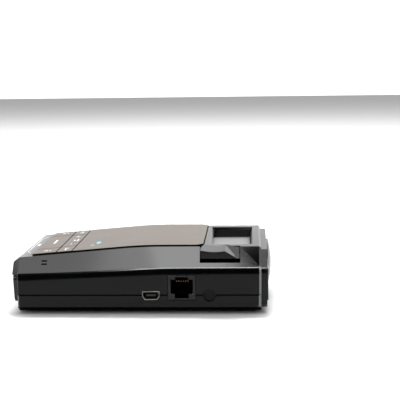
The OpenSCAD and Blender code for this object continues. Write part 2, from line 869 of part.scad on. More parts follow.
// A key: its cap between two corners, and the stems that reach down to the switches.
module key(low, high, stems) {
    color("#8f8880") on_slope() {
        translate([0, 0, -cap_t]) linear_extrude(cap_t) intersection() {
            round_rect(low, high, key_corner);
            keypad_outline(0);
        }
        for (s = stems) translate([s[0], s[1], -stem_end]) cylinder(h = stem_end - 1, r = stem_r);
    }
}

front_key_u = rear_key_l + key_gap;
module key_rear_middle() {
    key([0, -middle_key_half], [rear_key_l, middle_key_half], rear_middle_stems);
}
module key_rear_near() {
    key([0, -keypad_half_w], [rear_key_l, -middle_key_half - key_gap], rear_near_stems);
}
module key_rear_far() {
    key([0, middle_key_half + key_gap], [rear_key_l, keypad_half_w], rear_far_stems);
}
module key_volume() {
    key([front_key_u, -rocker_half], [key_rows_l, rocker_half], volume_stems);
}
module key_front_near() {
    key([front_key_u, -keypad_half_w], [key_rows_l, -rocker_half - key_gap], front_near_stems);
}
module key_front_far() {
    key([front_key_u, rocker_half + key_gap], [key_rows_l, keypad_half_w], front_far_stems);
}

module top_plate() {
    color("#968f87") intersection() {
        along_y(-case_w, case_w) plate_profile(plate_rear_x, plate_front_x, plate_sink);
        linear_extrude(case_h * 2) plate_outline(plate_rear_x, plate_front_x, 0);
    }
}

// ---- Release button, latch and spring ---------------------------------------------------
// The half of space above the plane through three points.
module above_plane(p, q, r) {
    big = 60;
    n = cross(q - p, r - p);
    translate(p) rotate([0, 0, atan2(n[1], n[0])]) rotate([0, -asin(n[2] / norm(n)), 0])
        translate([0, -big / 2, -big / 2]) cube(big);
}

module release_button() {
    color("#4a4d50") difference() {
        intersection() {
            along_y(-case_w, case_w) polygon([
                [button_x0, button_low], [button_x1, button_low], [button_x1, button_top],
                [button_x0 + 1.6, button_top], [button_x0, button_top - 1.1]
            ]);
            along_x(button_x0, button_x1) polygon([
                [-button_out, button_low], [-button_in, button_low], [-button_in, button_top],
                [-button_out, button_lip]
            ]);
        }
        intersection() {
            above_plane(facet_back_in, facet_back_out, facet_front_out);
            above_plane(facet_back_in, facet_front_out, facet_front_in);
        }
        slope = atan2(button_top - button_lip, button_out - button_in);
        translate([button_x0 + 6.4, -button_out, button_lip]) rotate([slope, 0, 0])
            translate([0, -5, scoop_r - scoop_depth]) rotate([-90, 0, 0])
                cylinder(h = 20, r = scoop_r, $fn = 96);
    }
}

module release_latch() {
    inner = -(button_in + 0.1);
    color("#55585b") {
        // Block under the button, arm below the socket's floor, and the tooth.
        box([latch_x0, -half_w + wall + 1.8, arm_top - arm_t],
            [latch_x0 + latch_w, inner, button_low]);
        box([latch_x0, inner - eps, arm_top - arm_t], [latch_x0 + latch_w, tooth_y1, arm_top]);
        along_x(latch_x0, latch_x0 + latch_w) polygon([
            [tooth_y0, arm_top - eps], [tooth_y1, arm_top - eps],
            [tooth_y1, socket_floor + tooth_h], [tooth_y1 - 1, socket_floor + tooth_h],
            [tooth_y0, socket_floor + 0.1]
        ]);
    }
}

module release_spring() {
    coils = 4;
    top = arm_top - arm_t;
    pitch = (top - spring_seat - 2 * spring_wire) / coils;
    color("#aeb1b4") translate([spring_x, spring_y, spring_seat + spring_wire])
        for (i = [0:coils])
            translate([0, 0, i * pitch]) rotate_extrude()
                translate([spring_r - spring_wire, 0]) circle(spring_wire, $fn = 16);
}

top_housing();
bottom_housing();
top_plate();
front_bezel();
antenna_window();
side_window();
laser_lens();
sensor_holder();
photodiode();
horn_antenna();
rf_shield();
main_board();
processor_chip();
display_window();
display_module();
speaker();
power_jack();
power_contacts();
usb_shell();
usb_tongue();
audio_port_plug();
keypad_board();
key_gasket();
tact_switches();
case_screws();
rubber_feet();
rating_label();
release_button();
release_latch();
release_spring();
key_rear_middle();
key_rear_near();
key_rear_far();
key_volume();
key_front_near();
key_front_far();
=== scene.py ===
"""Radar detector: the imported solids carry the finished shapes, the paint and the prints."""

import json
from math import atan2, cos, pi, radians, sin, tan

import bmesh
import bpy
from mathutils import Matrix, Vector


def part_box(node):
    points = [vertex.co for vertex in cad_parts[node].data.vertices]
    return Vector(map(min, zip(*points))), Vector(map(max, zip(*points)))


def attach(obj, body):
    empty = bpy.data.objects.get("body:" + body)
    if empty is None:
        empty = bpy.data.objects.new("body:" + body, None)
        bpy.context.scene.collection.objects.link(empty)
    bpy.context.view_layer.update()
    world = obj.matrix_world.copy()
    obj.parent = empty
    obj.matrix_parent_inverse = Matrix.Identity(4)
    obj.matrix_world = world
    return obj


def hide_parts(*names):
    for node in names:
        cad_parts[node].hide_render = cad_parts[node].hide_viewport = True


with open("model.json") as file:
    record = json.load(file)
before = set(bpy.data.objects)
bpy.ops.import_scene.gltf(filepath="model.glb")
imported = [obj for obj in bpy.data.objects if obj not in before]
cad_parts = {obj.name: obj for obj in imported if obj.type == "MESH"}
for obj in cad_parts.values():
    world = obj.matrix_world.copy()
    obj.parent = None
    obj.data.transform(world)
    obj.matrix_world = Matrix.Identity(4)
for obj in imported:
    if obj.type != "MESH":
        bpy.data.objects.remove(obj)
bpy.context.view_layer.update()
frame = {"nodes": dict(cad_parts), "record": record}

MM = 0.001
TOP_SLOPE = radians(4.75)
SLOPE_UP = Vector((-sin(TOP_SLOPE), 0, cos(TOP_SLOPE)))


# ---- Camera ------------------------------------------------------------------------------


CAMERA_TURN = 2.867, 7.711, -0.722  # yaw, pitch and roll in degrees
CAMERA_SPOT = 0.0484, -0.4703, 0.1097
FOCAL_LENGTH, SENSOR_WIDTH = 91.4, 36
NEAR, FAR = 0.01, 60


def set_camera():
    """A long lens a little above the case, looking across its side with the connectors."""
    yaw, pitch, roll = map(radians, CAMERA_TURN)
    ahead = Vector((-sin(yaw) * cos(pitch), cos(yaw) * cos(pitch), -sin(pitch)))
    level = Vector((cos(yaw), sin(yaw), 0))
    upright = level.cross(ahead)
    across = cos(roll) * level + sin(roll) * upright
    up = -sin(roll) * level + cos(roll) * upright
    lens = bpy.data.cameras.new("camera")
    lens.lens, lens.sensor_width = FOCAL_LENGTH, SENSOR_WIDTH
    lens.clip_start, lens.clip_end = NEAR, FAR
    camera = bpy.data.objects.new("camera", lens)
    bpy.context.scene.collection.objects.link(camera)
    turn = Matrix((across, up, -ahead)).transposed().to_4x4()
    camera.matrix_world = Matrix.Translation(CAMERA_SPOT) @ turn
    bpy.context.scene.camera = camera


# ---- Shader sums -------------------------------------------------------------------------


class Value:
    """An output socket, so that sums on it are written as plain expressions."""

    def __init__(self, finish, socket):
        self.finish, self.socket = finish, socket

    def sum(self, operation, *parts):
        return self.finish.add("ShaderNodeMath", {"operation": operation}, parts)

    def __add__(self, other):
        return self.sum("ADD", self, other)

    def __sub__(self, other):
        return self.sum("SUBTRACT", self, other)

    def __rsub__(self, other):
        return self.sum("SUBTRACT", other, self)

    def __mul__(self, other):
        return self.sum("MULTIPLY", self, other)

    __radd__, __rmul__ = __add__, __mul__

    def size(self):
        return self.sum("ABSOLUTE", self)

    def least(self, other):
        return self.sum("MINIMUM", self, other)

    def most(self, other):
        return self.sum("MAXIMUM", self, other)

    def ease(self, low, high):
        """0 below low, 1 above high, and a soft step between."""
        step = {"interpolation_type": "SMOOTHSTEP"}
        inputs = {"Value": self, "From Min": low, "From Max": high}
        return self.finish.add("ShaderNodeMapRange", step, inputs)


class Finish:
    """Builds one material, or the world, node by node."""

    def __init__(self, name, world=False):
        store = bpy.data.worlds if world else bpy.data.materials
        self.block = store.new(name)
        self.block.use_nodes = True
        self.tree = self.block.node_tree
        self.tree.nodes.clear()

    def add(self, kind, settings=None, inputs=(), output=0):
        node = self.tree.nodes.new(kind)
        for key, value in (settings or {}).items():
            setattr(node, key, value)
        pairs = inputs.items() if isinstance(inputs, dict) else enumerate(inputs)
        for place, value in pairs:
            self.feed(node.inputs[place], value)
        return Value(self, node.outputs[output]) if node.outputs else None

    def feed(self, socket, value):
        if isinstance(value, Value):
            self.tree.links.new(value.socket, socket)
        elif socket.type == "RGBA" and len(value) == 3:
            socket.default_value = (*value, 1)
        else:
            socket.default_value = value

    def place(self):
        return self.add("ShaderNodeTexCoord", output="Object")

    def across(self, vector):
        """The three parts of a vector."""
        parts = self.add("ShaderNodeSeparateXYZ", None, [vector]).socket.node.outputs
        return [Value(self, part) for part in parts]

    def noise(self, size, detail=3, roughness=0.55, stretch=(1, 1, 1)):
        """Noise with grains of about this size, in metres, squeezed along the axes by stretch."""
        spot = self.add("ShaderNodeMapping", None, {"Vector": self.place(), "Scale": stretch})
        grain = {"Vector": spot, "Scale": 1 / size, "Detail": detail, "Roughness": roughness}
        return self.add("ShaderNodeTexNoise", None, grain, "Fac")

    def tint(self, mask, first, second):
        """The first colour where the mask is 0, the second where it is 1."""
        inputs = {"Factor": mask, 6: first, 7: second}
        return self.add("ShaderNodeMix", {"data_type": "RGBA"}, inputs, 2)

    def bump(self, height, distance):
        inputs = {"Height": height, "Distance": distance, "Strength": 1.0}
        return self.add("ShaderNodeBump", None, inputs)

    def surface(self, **inputs):
        named = {key.replace("_", " "): value for key, value in inputs.items()}
        shader = self.add("ShaderNodeBsdfPrincipled", None, named)
        self.add("ShaderNodeOutputMaterial", None, {"Surface": shader})
        return self.block


# ---- Finishes ----------------------------------------------------------------------------


def moulded(name, colour, roughness, grain=0.00035, depth=0.000002, index=1.25, dust=0.02):
    """Moulded plastic: a fine spark texture, a slightly uneven sheen and a breath of dust."""
    finish = Finish(name)
    spark = finish.noise(grain, 2, 0.6)
    cloud = finish.noise(0.012, 3)
    rubbed = finish.noise(0.004, 4, 0.6, (1, 0.35, 1))
    pale = tuple(dust + (1 - dust) * part for part in colour)
    shade = finish.tint(cloud.ease(0.45, 0.8) * 0.10 + rubbed.ease(0.6, 0.85) * 0.06, colour, pale)
    sheen = roughness * 0.82 + cloud * (roughness * 0.2) + rubbed * (roughness * 0.16)
    return finish.surface(Base_Color=shade, Roughness=sheen, IOR=index,
                          Normal=finish.bump(spark, depth))


def painted(name, colour, roughness, flake=0.12):
    """Satin paint over plastic: fine flake, faint orange peel and soft clouds of tone."""
    finish = Finish(name)
    fleck = finish.noise(0.00028, 2, 0.7)
    peel = finish.noise(0.0011, 2)
    cloud = finish.noise(0.02, 3)
    dark = tuple(part * (1 - flake) for part in colour)
    light = tuple(min(1, part * (1 + flake)) for part in colour)
    shade = finish.tint(fleck * 0.75 + cloud * 0.25, dark, light)
    sheen = roughness * 0.85 + cloud * (roughness * 0.18) + fleck * (roughness * 0.12)
    return finish.surface(Base_Color=shade, Roughness=sheen, IOR=1.33,
                          Normal=finish.bump(peel, 0.000003))


def glossy(name, colour, roughness, index=1.45):
    """Polished plastic or glass with faint smears."""
    finish = Finish(name)
    smear = finish.noise(0.006, 4, 0.6, (1, 0.3, 1))
    mist = finish.noise(0.0005, 2)
    pale = tuple(0.02 + 0.98 * part for part in colour)
    shade = finish.tint(smear.ease(0.5, 0.9) * 0.25, colour, pale)
    sheen = roughness + smear.ease(0.45, 0.85) * 0.07 + mist * 0.02
    return finish.surface(Base_Color=shade, Roughness=sheen, IOR=index)


TARNISH = 0.25
RUBBER_ROUGHNESS = 0.75


def metal(name, colour, roughness, stretch=(1, 12, 12), grain=0.0016):
    """Plated or drawn metal: lines along one axis and a little tarnish."""
    finish = Finish(name)
    lines = finish.noise(grain, 3, 0.6, stretch)
    patch = finish.noise(0.004, 4)
    dull = tuple(part * (1 - TARNISH) for part in colour)
    shade = finish.tint(patch.ease(0.4, 0.8) * 0.7 + lines * 0.3, colour, dull)
    sheen = roughness * 0.8 + lines * (roughness * 0.3) + patch * (roughness * 0.25)
    return finish.surface(Base_Color=shade, Roughness=sheen, Metallic=1.0,
                          Normal=finish.bump(lines, 0.000004))


def soft_rubber(name, colour):
    """Matt rubber with a dry, powdery bloom."""
    finish = Finish(name)
    grain = finish.noise(0.0005, 3, 0.7)
    bloom = finish.noise(0.005, 4)
    pale = tuple(0.04 + 0.96 * part for part in colour)
    shade = finish.tint(bloom.ease(0.4, 0.8) * 0.5 + grain * 0.2, colour, pale)
    return finish.surface(Base_Color=shade, Roughness=RUBBER_ROUGHNESS - 0.1 + bloom * 0.2, IOR=1.4,
                          Normal=finish.bump(grain, 0.00001))


def solder_mask():
    """Green lacquer over copper tracks that run along and across the board."""
    finish = Finish("circuit board")
    x, y, _ = finish.across(finish.place())
    wander = finish.noise(0.006, 1)
    wave = finish.add("ShaderNodeMath", {"operation": "SINE"}, [(x + wander * 0.004) * 4200])
    cross = finish.add("ShaderNodeMath", {"operation": "SINE"}, [(y + wander * 0.004) * 3100])
    region = finish.noise(0.009, 1).ease(0.48, 0.52)
    tracks = wave.ease(0.55, 0.75) * region + cross.ease(0.6, 0.8) * (1 - region)
    shade = finish.tint(tracks, (0.008, 0.085, 0.030), (0.030, 0.170, 0.060))
    return finish.surface(Base_Color=shade, Roughness=0.28 + tracks * 0.1, IOR=1.5,
                          Normal=finish.bump(tracks, 0.00003))


def label_film():
    """A blank paper film with plain printed frames and no words."""
    finish = Finish("blank label")
    low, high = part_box("rating_label")
    x, y, _ = finish.across(finish.place())
    middle = (low + high) / 2
    half = (high - low) / 2
    dx, dy = (x - middle.x).size(), (y - middle.y).size()
    edge = (half.x - dx).least(half.y - dy)
    border = edge.ease(0.0009, 0.0010) * (1 - edge.ease(0.0012, 0.0013))
    fibre = finish.noise(0.0006, 4, 0.7)
    paper = finish.tint(fibre, (0.52, 0.52, 0.50), (0.62, 0.62, 0.60))
    shade = finish.tint(border * 0.85, paper, (0.05, 0.05, 0.05))
    return finish.surface(Base_Color=shade, Roughness=0.45 + fibre * 0.15, IOR=1.4)


def milky_lens():
    """A clear moulded lens with a light frost, so that it looks pale against the dark collar."""
    finish = Finish("clear lens")
    frost = finish.noise(0.0008, 3)
    cloud = finish.noise(0.008, 2)
    shade = finish.tint(cloud, (0.09, 0.09, 0.085), (0.13, 0.13, 0.12))
    return finish.surface(Base_Color=shade, Roughness=0.16 + frost * 0.08, IOR=1.25,
                          Transmission_Weight=0.25)


def tinted_window():
    """Infrared-passing plastic: nearly black, with a violet body colour."""
    finish = Finish("infrared window")
    smear = finish.noise(0.006, 4, 0.6, (1, 0.3, 1))
    shade = finish.tint(smear, (0.004, 0.0008, 0.034), (0.007, 0.0018, 0.052))
    return finish.surface(Base_Color=shade, Roughness=0.10 + smear * 0.06, IOR=1.35)


FINISHES = {
    "case_plastic": moulded("case plastic", (0.0011, 0.0014, 0.0015), 0.115),
    "collar_plastic": moulded("collar plastic", (0.0016, 0.0018, 0.0020), 0.20, index=1.28),
    "plate_paint": painted("plate paint", (0.080, 0.054, 0.036), 0.30),
    "key_paint": painted("key paint", (0.080, 0.054, 0.036), 0.30),
    "infrared_window": tinted_window(),
    "clear_lens": milky_lens(),
    "inner_plastic": moulded("inner plastic", (0.012, 0.012, 0.013), 0.45, index=1.4),
    "diode_epoxy": glossy("diode epoxy", (0.030, 0.012, 0.024), 0.12),
    "cast_zinc": metal("cast zinc", (0.50, 0.51, 0.52), 0.48, (1, 1, 1), 0.0012),
    "tin_plate": metal("tin plate", (0.60, 0.61, 0.62), 0.30, (1, 8, 8)),
    "circuit_board": solder_mask(),
    "chip_epoxy": moulded("chip epoxy", (0.012, 0.012, 0.013), 0.55, 0.0003, 0.000008, 1.45),
    "display_gloss": glossy("display gloss", (0.0022, 0.0024, 0.0028), 0.06, 1.4),
    "display_glass": glossy("display glass", (0.010, 0.014, 0.024), 0.05),
    "speaker_steel": metal("speaker steel", (0.34, 0.35, 0.36), 0.38, (1, 1, 1)),
    "jack_nylon": moulded("jack nylon", (0.003, 0.0035, 0.004), 0.30, 0.0003, 0.000004, 1.36),
    "contact_gold": metal("contact gold", (0.30, 0.20, 0.07), 0.4),
    "port_steel": metal("port steel", (0.22, 0.205, 0.19), 0.3, (1, 8, 1)),
    "port_plug": moulded("port plug", (0.002, 0.0022, 0.0025), 0.30, index=1.22),
    "gasket_rubber": soft_rubber("gasket rubber", (0.07, 0.075, 0.08)),
    "switch_steel": metal("switch steel", (0.58, 0.59, 0.60), 0.32),
    "screw_steel": metal("screw steel", (0.36, 0.37, 0.38), 0.35, (1, 1, 6)),
    "foot_rubber": soft_rubber("foot rubber", (0.012, 0.012, 0.012)),
    "blank_label": label_film(),
    "button_plastic": moulded("button plastic", (0.0018, 0.0018, 0.0030), 0.16, index=1.3),
    "spring_steel": metal("spring steel", (0.55, 0.56, 0.57), 0.28),
}
# Painted shade: a near-black plastic for grooves, slots, undercut sides, the insides of openings and
# down-facing bevels, where shade falls.
PAINTED_SHADE = moulded("painted shade", (0.0006, 0.0006, 0.0007), 0.5, index=1.08, dust=0.002)
# Painted highlight: a lighter, shinier plastic for the case's upright corners and the chamfers at the
# lens end.
PAINTED_CORNER_HIGHLIGHT = moulded("painted corner highlight", (0.010, 0.011, 0.012), 0.28, index=2.1)
# Painted shade: a darker metal for the inner walls of the data port.
PORT_SHADE = metal("port shade", (0.06, 0.055, 0.05), 0.4, (1, 8, 1))
BELLY_TEXTURE = moulded("belly texture", (0.0012, 0.0012, 0.0013), 0.55, 0.0005, 0.00001, 1.12)
# Painted reflection: a pale grey for the socket floor, in place of the light it catches at a grazing
# angle.
PAINTED_SOCKET_REFLECTION = moulded("socket floor", (0.10, 0.105, 0.10), 0.55, 0.0006, 0.00001, 1.9, 0.04)
PRINT_WHITE = painted("print white", (0.82, 0.83, 0.84), 0.5, 0.03)
PRINT_BLUE = painted("print blue", (0.16, 0.48, 0.72), 0.45, 0.05)

SLOT_OF = {part["node"]: part["material_slot"] for part in frame["record"]["subparts"]}
BODY_OF = {node: body
           for body, nodes in frame["record"]["behaviour"]["bodies"].items() for node in nodes}


# ---- Modelling helpers -------------------------------------------------------------------


WELD_GAP = 0.000002
FLAT_ANGLE = radians(0.4)
CORNER_RADIUS = 0.25 * MM
SIDE_LEVEL = 0.6
# Places in a piece's list of finishes: the second of two, then those of the case after its plastic.
SECOND = 1
# BLACK holds the painted shade, SOCKET the socket floor's painted reflection, SHEEN the corners'
# painted highlight and BELLY the matt underside.
BLACK, SOCKET, SHEEN, BELLY = 1, 2, 3, 4


def pick(*pieces):
    """Nothing but these pieces is selected, and the last one is active."""
    if bpy.context.object and bpy.context.object.mode != "OBJECT":
        bpy.ops.object.mode_set(mode="OBJECT")
    bpy.ops.object.select_all(action="DESELECT")
    for piece in pieces:
        piece.select_set(True)
        bpy.context.view_layer.objects.active = piece


def select_in(piece, kind, wanted):
    """In edit mode, selects the verts, edges or faces for which wanted is true."""
    bpy.ops.mesh.select_mode(type={"verts": "VERT", "edges": "EDGE", "faces": "FACE"}[kind])
    bpy.ops.mesh.select_all(action="DESELECT")
    mesh = bmesh.from_edit_mesh(piece.data)
    count = 0
    for item in getattr(mesh, kind):
        if wanted(item):
            item.select_set(True)
            count += 1
    mesh.select_flush_mode()
    bmesh.update_edit_mesh(piece.data)
    return count


def fold(edge):
    """The angle between an edge's two faces."""
    return edge.calc_face_angle(0) if len(edge.link_faces) == 2 else 0


def middle_of(edge):
    return (edge.verts[0].co + edge.verts[1].co) / 2


def along(edge):
    return (edge.verts[1].co - edge.verts[0].co).normalized()


def merged_copy(node, name):
    """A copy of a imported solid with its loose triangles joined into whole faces."""
    piece = bpy.data.objects.new(name, frame["nodes"][node].data.copy())
    bpy.context.scene.collection.objects.link(piece)
    piece.data.materials.clear()
    pick(piece)
    bpy.ops.mesh.customdata_custom_splitnormals_clear()
    bpy.ops.object.mode_set(mode="EDIT")
    bpy.ops.mesh.select_all(action="SELECT")
    bpy.ops.mesh.remove_doubles(threshold=WELD_GAP)
    bpy.ops.mesh.dissolve_limited(angle_limit=FLAT_ANGLE, delimit={"NORMAL"})
    bpy.ops.object.mode_set(mode="OBJECT")
    return piece


def round_edges(piece, radius, wanted, segments=2, slot=-1):
    """Rounds the edges for which wanted is true, and gives the new faces a material slot."""
    pick(piece)
    bpy.ops.object.mode_set(mode="EDIT")
    if select_in(piece, "edges", wanted):
        bpy.ops.mesh.bevel(offset=radius, segments=segments, affect="EDGES", clamp_overlap=True,
                           material=slot)
    bpy.ops.object.mode_set(mode="OBJECT")


def polish_corners(piece):
    """Gives the case its finishes and rounds its four upright corner edges.

    The corners and the chamfers at the lens end get a lighter, shinier plastic than the walls: a
    painted highlight.
    """
    low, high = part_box("bottom_housing")

    def upright(edge):
        spot = middle_of(edge)
        at_end = spot.x > high.x - 1.5 * MM or spot.x < low.x + 1.5 * MM
        at_side = high.y - abs(spot.y) < MM
        return at_end and at_side and abs(along(edge).z) > 0.8 and fold(edge) > radians(18)

    for finish in (FINISHES["case_plastic"], PAINTED_SHADE, PAINTED_SOCKET_REFLECTION, PAINTED_CORNER_HIGHLIGHT, BELLY_TEXTURE):
        piece.data.materials.append(finish)
    round_edges(piece, CORNER_RADIUS, upright, 2, SHEEN)
    for face in piece.data.polygons:
        spot, way = face.center, face.normal
        at_corner = spot.x > high.x - MM and abs(spot.y) > high.y - MM
        if at_corner and abs(way.x) > 0.3 and abs(way.y) > 0.3:
            face.material_index = SHEEN


def smooth(piece, angle=32):
    """Smooth shading up to an angle, with the large faces kept flat."""
    pick(piece)
    bpy.ops.object.shade_smooth_by_angle(angle=radians(angle))
    weigh = piece.modifiers.new("weigh", "WEIGHTED_NORMAL")
    weigh.keep_sharp = True
    weigh.weight = 80
    bpy.ops.object.modifier_apply(modifier=weigh.name)


def stand_for(piece, node, *finishes):
    """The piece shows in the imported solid's place."""
    if not piece.data.materials:
        for finish in finishes or [FINISHES[SLOT_OF[node]]]:
            piece.data.materials.append(finish)
    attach(piece, BODY_OF[node])
    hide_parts(node)
    return piece


def paint_sides(piece, up):
    """Faces that don't look along up get the second finish, which on the plate and the keys is painted
    shade.
    """
    for face in piece.data.polygons:
        if face.normal.dot(up) < SIDE_LEVEL:
            face.material_index = SECOND


# ---- Case --------------------------------------------------------------------------------


BAND_WIDTH, BAND_RADIUS = 5.2 * MM, 0.5 * MM
BAND_SLOTS_X = -45.5 * MM, -41.5 * MM
BAND_SLOTS_Z = 21 * MM, 24.5 * MM
BAND_SLOT_AREA = 20e-6
SOCKET_REAR_X = 28 * MM
SOCKET_FLOOR_Z = 24 * MM, 25 * MM
LIP_DROP = 0.28 * MM
LIP_REACH = 0.02 * MM


def case_top():
    """The upper half, with painted shade in its parting groove and in the slots of its band, and a
    socket floor lightened as a painted reflection.
    """
    piece = merged_copy("top_housing", "case_top")
    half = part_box("top_housing")[1].y
    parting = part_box("bottom_housing")[1].z

    def band_edge(edge):
        spot = middle_of(edge)
        off_line = abs(abs(spot.y) - (half - BAND_WIDTH))
        lengthwise = abs(along(edge).x) > 0.9 and edge.calc_length() > 3 * MM
        return fold(edge) > radians(24) and spot.z > 9 * MM and lengthwise and off_line < 0.9 * MM

    round_edges(piece, BAND_RADIUS, band_edge, 3)
    polish_corners(piece)
    smooth(piece)
    # The parting groove and the band's slots get painted shade; the socket floor gets a painted
    # reflection.
    for face in piece.data.polygons:
        spot, way = face.center, face.normal
        inward = way.z < -0.9 or abs(spot.y) < half - 0.05 * MM
        groove = abs(spot.z - parting) < 0.4 * MM and inward
        in_band = BAND_SLOTS_X[0] < spot.x < BAND_SLOTS_X[1] and spot.y < -half + 6 * MM
        in_slot = in_band and BAND_SLOTS_Z[0] < spot.z < BAND_SLOTS_Z[1]
        if groove or (in_slot and abs(way.x) + abs(way.z) > 0.9 and face.area < BAND_SLOT_AREA):
            face.material_index = BLACK
        in_socket = SOCKET_FLOOR_Z[0] < spot.z < SOCKET_FLOOR_Z[1] and spot.x > SOCKET_REAR_X
        if way.z > 0.99 and in_socket:
            face.material_index = SOCKET
    return stand_for(piece, "top_housing")


def case_base():
    """The lower half, with its lip lowered a little so that the parting line shows, and painted shade
    on that lip and on its down-facing bevels.
    """
    piece = merged_copy("bottom_housing", "case_base")
    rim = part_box("bottom_housing")[1]

    def on_lip(vert):
        return rim.z - vert.co.z < LIP_REACH and rim.y - abs(vert.co.y) < LIP_REACH

    polish_corners(piece)
    bpy.ops.object.mode_set(mode="EDIT")
    select_in(piece, "verts", on_lip)
    bpy.ops.transform.translate(value=(0, 0, -LIP_DROP))
    bpy.ops.object.mode_set(mode="OBJECT")
    smooth(piece)
    # The flat underside gets the matt texture; the other down-facing faces and the lowered lip get
    # painted shade.
    for face in piece.data.polygons:
        if face.normal.z < -0.95 and face.center.z < 6 * MM:
            face.material_index = BELLY
        elif face.normal.z < -0.3 or (face.normal.z > 0.6 and face.center.z > 8 * MM):
            face.material_index = BLACK
    return stand_for(piece, "bottom_housing")


def collar():
    piece = merged_copy("front_bezel", "collar")
    smooth(piece)
    return stand_for(piece, "front_bezel")


def plate():
    piece = merged_copy("top_plate", "plate")

    def top_rim(edge):
        return (fold(edge) > radians(50) and middle_of(edge).z > 24 * MM
                and edge.link_faces[0].normal.z + edge.link_faces[1].normal.z > 0.5)

    round_edges(piece, 0.12 * MM, top_rim)
    smooth(piece)
    # The plate's sides get painted shade, for the dark line under its edge.
    paint_sides(piece, Vector((0, 0, 1)))
    return stand_for(piece, "top_plate", FINISHES["plate_paint"], PAINTED_SHADE)


KEYS = ["key_rear_middle", "key_rear_near", "key_rear_far",
        "key_volume", "key_front_near", "key_front_far"]


def key(node):
    piece = merged_copy(node, node + "_cap")

    def top_rim(edge):
        level = [face.normal.dot(SLOPE_UP) for face in edge.link_faces]
        return fold(edge) > radians(50) and max(level) > 0.9 and min(level) > -0.5

    round_edges(piece, 0.14 * MM, top_rim)
    smooth(piece)
    # The key's sides get painted shade, for the dark lines round the keys.
    paint_sides(piece, SLOPE_UP)
    return stand_for(piece, node, FINISHES["key_paint"], PAINTED_SHADE)


def button():
    piece = merged_copy("release_button", "release_button_cap")
    round_edges(piece, 0.16 * MM, lambda edge: fold(edge) > radians(14))
    smooth(piece, 28)
    return stand_for(piece, "release_button")


def trimmed(node, name, radius, sharp=50):
    """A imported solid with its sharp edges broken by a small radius."""
    piece = merged_copy(node, name)
    round_edges(piece, radius, lambda edge: fold(edge) > radians(sharp))
    smooth(piece)
    return stand_for(piece, node)


def looks_in(face, middle):
    """True where a face of a tube along Y looks towards the tube's middle."""
    out = face.center - middle
    return face.normal.dot(Vector((out.x, 0, out.z))) < 0


def jack():
    piece = merged_copy("power_jack", "power_jack_body")
    low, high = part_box("power_jack")

    def mouth(edge):
        return fold(edge) > radians(50) and middle_of(edge).y < low.y + 0.1 * MM

    round_edges(piece, 0.1 * MM, mouth)
    smooth(piece)
    middle = (low + high) / 2
    # Inside its mouth the jack gets painted shade.
    for face in piece.data.polygons:
        inner = looks_in(face, middle) or face.normal.y < -0.5
        if inner and face.center.y > low.y + 0.3 * MM:
            face.material_index = SECOND
    return stand_for(piece, "power_jack", FINISHES["jack_nylon"], PAINTED_SHADE)


def data_shell():
    piece = trimmed("usb_shell", "data_socket_shell", 0.05 * MM, 60)
    low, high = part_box("usb_shell")
    middle = (low + high) / 2
    # The port's inner walls get the darker metal, painted shade inside the opening.
    for face in piece.data.polygons:
        if looks_in(face, middle) and abs(face.normal.y) < 0.4:
            face.material_index = SECOND
    piece.data.materials.append(PORT_SHADE)


# ---- Prints ------------------------------------------------------------------------------


PRINT_THICK = 0.03 * MM


def flat_bar(length_x, length_y, round_by=0.0):
    """A flat bar round the origin, with its corners cut round."""
    pick()
    bpy.ops.mesh.primitive_plane_add(size=1)
    bpy.ops.object.mode_set(mode="EDIT")
    bpy.ops.transform.resize(value=(length_x, length_y, 1))
    if round_by:
        bpy.ops.mesh.select_all(action="SELECT")
        bpy.ops.mesh.bevel(offset=round_by, segments=3, affect="VERTICES")
    bpy.ops.object.mode_set(mode="OBJECT")
    return bpy.context.object


def flat_disc(radius, corners=24, hole=0.0):
    """A flat disc or triangle, with its middle taken out where hole is more than 0."""
    pick()
    bpy.ops.mesh.primitive_circle_add(vertices=corners, radius=radius, fill_type="NGON")
    if hole:
        bpy.ops.object.mode_set(mode="EDIT")
        bpy.ops.mesh.select_all(action="SELECT")
        bpy.ops.mesh.inset(thickness=radius - hole, depth=0)
        bpy.ops.mesh.delete(type="FACE")
        bpy.ops.object.mode_set(mode="OBJECT")
    return bpy.context.object


def flat_cross(length, thick):
    """A plus sign: a square of nine fields without its corners."""
    pick()
    bpy.ops.mesh.primitive_grid_add(x_subdivisions=3, y_subdivisions=3, size=1)
    bpy.ops.object.mode_set(mode="EDIT")
    cross = bpy.context.object
    select_in(cross, "verts", lambda vert: abs(vert.co.x) < 0.3)
    bpy.ops.transform.resize(value=(3 * thick / length, 1, 1))
    select_in(cross, "verts", lambda vert: abs(vert.co.y) < 0.3)
    bpy.ops.transform.resize(value=(1, 3 * thick / length, 1))
    corner = 0.9 * thick / length
    select_in(cross, "faces",
              lambda face: min(abs(part) for part in face.calc_center_median()[:2]) > corner)
    bpy.ops.mesh.delete(type="FACE")
    bpy.ops.mesh.select_all(action="SELECT")
    bpy.ops.transform.resize(value=(length, length, 1))
    bpy.ops.object.mode_set(mode="OBJECT")
    return cross


def printed(shape, name, node, spot, tilt, turn=0.0, ink=None):
    """Gives a flat shape the thickness of a print and sets it on a node's face."""
    pick(shape)
    bpy.ops.object.mode_set(mode="EDIT")
    bpy.ops.mesh.select_all(action="SELECT")
    bpy.ops.mesh.extrude_region_move(TRANSFORM_OT_translate={"value": (0, 0, PRINT_THICK)})
    bpy.ops.mesh.select_all(action="SELECT")
    bpy.ops.mesh.normals_make_consistent(inside=False)
    bpy.ops.object.mode_set(mode="OBJECT")
    shape.name = shape.data.name = name
    turned = Matrix.Rotation(-tilt, 4, "Y") @ Matrix.Rotation(turn, 4, "Z")
    shape.matrix_world = Matrix.Translation(spot) @ turned
    bpy.ops.object.transform_apply(location=True, rotation=True, scale=True)
    shape.data.materials.append(ink or PRINT_WHITE)
    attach(shape, BODY_OF[node])


